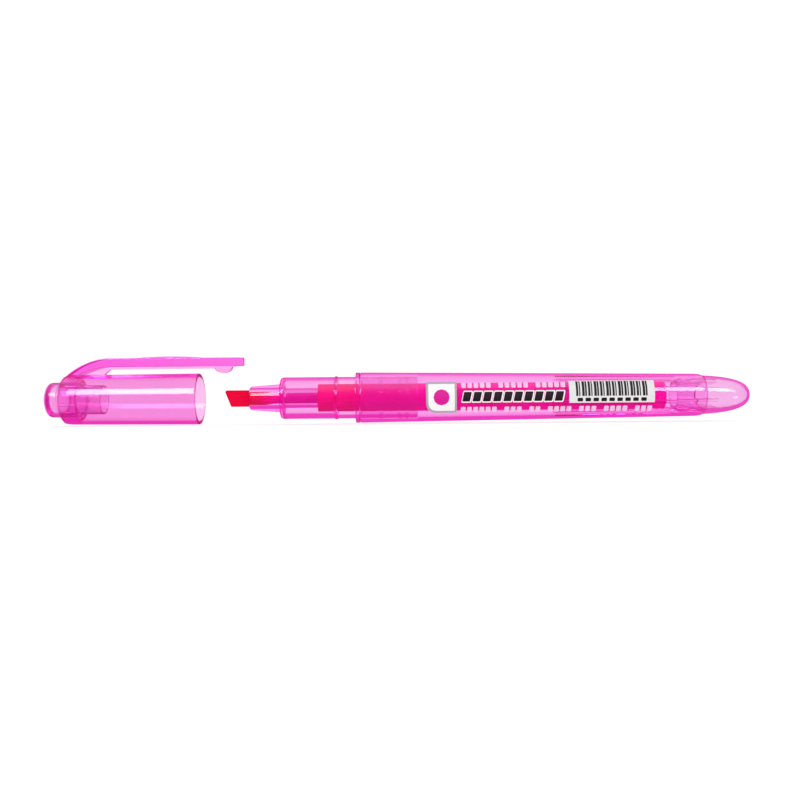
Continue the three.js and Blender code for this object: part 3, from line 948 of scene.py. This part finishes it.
bpy.ops.object.mode_set(mode="EDIT")
bpy.ops.mesh.select_all(action="SELECT")
bpy.ops.mesh.bisect(plane_co=place(ARC_END, 0), plane_no=(1, 0, 0))
select_tip(edges_only=False)
bpy.ops.transform.resize(
    value=(1, CLIP_TIP_WIDTH / CLIP_WIDTH, 1), center_override=place(CLIP_TIP, 0))
select_tip(edges_only=True)
bpy.ops.mesh.bevel(offset=TIP_CORNER * MM, segments=6)
bpy.ops.mesh.select_mode(type="VERT")
bpy.ops.object.mode_set(mode="OBJECT")
soften(clip, CLIP_EDGE)
print("clip bar", len(clip.data.polygons), "faces,", round(CLIP_TIP - CAP_REAR, 1), "mm long")

# %% [markdown]
# ## Under and on the clip
# A thin rib stiffens the bar from below and fills the corner at its root, a round bump near the
# tip presses on a pocket's edge, and a long shallow pad lies on top. Rib and bump are flat
# outlines. The pad starts as a sphere pressed nearly flat and sunk into the bar.

# %% Rib, bump and pad
INTO_BAR = CLIP_UNDER + 0.3
BUMP_REAR, BUMP_FRONT = CLIP_TIP - 7.5, CLIP_TIP - 2.9
BUMP_DEPTH = 2.4
PAD_HALF = (10, 1.7, 0.75)  # half of its length, width and height
rib_under = plate("rib_under", [
    (CAP_REAR + 2, 6.0),
    (ARC_END - 1.5, 6.0),
    (ARC_END - 1.5, 6.5),
    (ARC_END - 0.2, 7.65),
    (CLIP_TIP - 5.2, 7.76),
    (CLIP_TIP - 1, CLIP_UNDER),
    (CLIP_TIP - 1, INTO_BAR),
    (ARC_END - 2, INTO_BAR),
    (CAP_REAR + 5, 7.0),
], 1.2)
bump = plate("bump", sweep(
    (BUMP_REAR, CLIP_UNDER),
    (BUMP_REAR, CLIP_UNDER - BUMP_DEPTH),
    (BUMP_FRONT, CLIP_UNDER - BUMP_DEPTH),
    (BUMP_FRONT, CLIP_UNDER),
    16,
) + [(BUMP_FRONT, INTO_BAR), (BUMP_REAR, INTO_BAR)], 1.6)
combine(clip, rib_under, "UNION")
combine(clip, bump, "UNION")
deselect()
bpy.ops.mesh.primitive_uv_sphere_add(
    segments=48, ring_count=24, radius=1, location=place(CLIP_TIP - 19, CLIP_TOP - 0.3),
    scale=[half * MM for half in PAD_HALF],
)
pad = bpy.context.object
bpy.ops.object.transform_apply(location=True, rotation=True, scale=True)
combine(clip, pad, "UNION")

# %% [markdown]
# ## Seating the clip on the cap
# Clip and cap are one moulding, but the clip bends and the tube doesn't. So the clip is a piece
# of its own whose foot is cut to the tube's outside.

# %% Cut the foot
SEAT_GAP = 0.01
foot_cutter = turn("foot_cutter", rounded(
    [(CAP_REAR - 1, 0, 0), (CAP_REAR - 1, CAP_REAR_RADIUS + SEAT_GAP, 0)]
    + [(along, out + SEAT_GAP, fillet) for along, out, fillet in CAP_OUTSIDE]
    + [(CAP_MOUTH, CAP_RADIUS + SEAT_GAP, 0), (CAP_MOUTH, 0, 0)]))
combine(clip, foot_cutter, "DIFFERENCE")
dress(finish_mesh(clip), cap_plastic, None, "clear_pink_cap", "clip_arm")
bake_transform(clip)

# %% [markdown]
# ## Floor
# The floor is a plain pale sheet that takes a soft shadow. It is matt, and it is hidden from
# mirrored and refracted rays, so that the clear walls show the room instead of a white floor.

# %% A pale floor
deselect()
bpy.ops.mesh.primitive_plane_add(size=6, location=(0, 0, -0.2 * MM))
floor = bpy.context.object
floor.name = "floor"
floor_material, _, _, floor_shader = new_material("floor_paint")
floor_shader.inputs["Base Color"].default_value = (0.35, 0.35, 0.35, 1)
floor_shader.inputs["Specular IOR Level"].default_value = 0.0
floor_shader.inputs["Emission Color"].default_value = (1, 1, 1, 1)
floor_shader.inputs["Emission Strength"].default_value = 0.7
floor_shader.inputs["Roughness"].default_value = 0.9
floor.data.materials.append(floor_material)
floor.visible_glossy = False
floor.visible_transmission = False
print("floor", floor.dimensions.x, "m across")

# %% [markdown]
# ## The room round the pen
# Clear plastic shows whatever is behind it and whatever it mirrors. Rays that go straight
# through see a white backdrop. Rays that were mirrored at least once see a pink room that
# brightens towards its ceiling, so the edges of the tubes turn a deep clean pink instead of
# grey. The Light Path node tells the two kinds of ray apart.

# %% Backdrop and room
world = bpy.data.worlds.new("studio")
bpy.context.scene.world = world
world.use_nodes = True
world.cycles.sampling_method = "NONE"
SEEN_THROUGH = (1.06, 1.06, 1.06, 1)
ROOM = [  # from straight down at 0 to straight up at 1
    (0.0, (0.86, 0.13, 0.56, 1)),
    (0.5, (0.90, 0.10, 0.60, 1)),
    (0.76, (0.93, 0.16, 0.68, 1)),
    (0.93, (1.0, 0.9, 0.97, 1)),
]


def world_node(kind, **settings):
    node = world.node_tree.nodes.new(kind)
    for name, value in settings.items():
        setattr(node, name, value)
    return node


def world_link(start, end):
    world.node_tree.links.new(start, end)


heading = world_node("ShaderNodeTexCoord")
split = world_node("ShaderNodeSeparateXYZ")
upward = world_node("ShaderNodeMapRange")
upward.inputs["From Min"].default_value = -1
room = world_node("ShaderNodeValToRGB")
room.color_ramp.elements.new(0.5)
room.color_ramp.elements.new(0.7)
for stop, (position, colour) in zip(room.color_ramp.elements, ROOM):
    stop.position = position
    stop.color = colour
path = world_node("ShaderNodeLightPath")
mirrored = world_node("ShaderNodeMath", operation="GREATER_THAN")
mirrored.inputs[1].default_value = 0.5
either = world_node("ShaderNodeMix", data_type="RGBA")
either.inputs[6].default_value = SEEN_THROUGH
world_link(heading.outputs["Generated"], split.inputs["Vector"])
world_link(split.outputs["Z"], upward.inputs["Value"])
world_link(upward.outputs["Result"], room.inputs["Fac"])
world_link(path.outputs["Glossy Depth"], mirrored.inputs[0])
world_link(mirrored.outputs[0], either.inputs["Factor"])
world_link(room.outputs["Color"], either.inputs[7])
world_link(either.outputs[2], world.node_tree.nodes["Background"].inputs["Color"])
print("room with", len(room.color_ramp.elements), "stops")

# %% [markdown]
# ## Soft boxes
# Long soft boxes in front of the pen draw the straight white highlights along the cap and the
# tail. A smaller one inside the first gives its highlight a brighter core. They are hidden from
# matt surfaces, which the backdrop already lights, so that the ink isn't washed out.

# %% Lights over the cap and the tail
LIGHT_DISTANCE = 0.5


def soft_light(name, across, elevation, long, tall, power):
    """A rectangular soft light in front of the pen, at a place along it, that looks at its axis."""
    direction = Vector((0, -math.cos(math.radians(elevation)), math.sin(math.radians(elevation))))
    data = bpy.data.lights.new(name, "AREA")
    data.shape = "RECTANGLE"
    data.size = long
    data.size_y = tall
    data.energy = power
    light = bpy.data.objects.new(name, data)
    bpy.context.collection.objects.link(light)
    light.location = Vector((across, 0, AXIS)) + direction * LIGHT_DISTANCE
    light.visible_diffuse = False
    light.rotation_euler = direction.to_track_quat("Z", "Y").to_euler()
    print(name, power, "W,", elevation, "degrees up")
    return light


soft_light("cap_softbox", across=-0.2, elevation=37, long=0.17, tall=0.22, power=1.3)
soft_light("cap_softbox_core", across=-0.2, elevation=37, long=0.17, tall=0.1, power=0.8)
soft_light("tail_softbox", across=0.33, elevation=33, long=0.3, tall=0.16, power=1.5)

# %% [markdown]
# ## Camera
# The camera stands close, level with the pen and square to it, so the cap's mouth shows a little
# of its round opening. Its lens follows from the width of the view and its distance. Some light
# runs along inside a clear wall for a long way before it gets out, so many bounces are allowed:
# with few, those rays would end as dark grey lines at every step and rib.

# %% Camera and bounces
VIEW_WIDTH = 204.08  # millimetres of pen and surroundings that the view takes in
DISTANCE = 0.23
TILT_UP = 0.48
SHIFT_ALONG, SHIFT_UP = 0.44, -0.7
BOUNCES = 128
deselect()
camera_data = bpy.data.cameras.new("camera")
camera = bpy.data.objects.new("camera", camera_data)
bpy.context.collection.objects.link(camera)
bpy.context.scene.camera = camera
camera_data.lens = camera_data.sensor_width * DISTANCE / (VIEW_WIDTH * MM)
camera_data.clip_start = 0.001
middle = (cad_box[0][0] + cad_box[1][0]) / 2
camera.location = (middle + SHIFT_ALONG * MM, -DISTANCE, AXIS + SHIFT_UP * MM)
camera.rotation_euler = (math.radians(90), math.radians(TILT_UP), 0)

bpy.context.scene.view_settings.view_transform = "Standard"
light_paths = bpy.context.scene.cycles
light_paths.max_bounces = BOUNCES
light_paths.transmission_bounces = BOUNCES
light_paths.glossy_bounces = BOUNCES
print("lens", round(camera_data.lens, 1), "mm at", DISTANCE, "m")
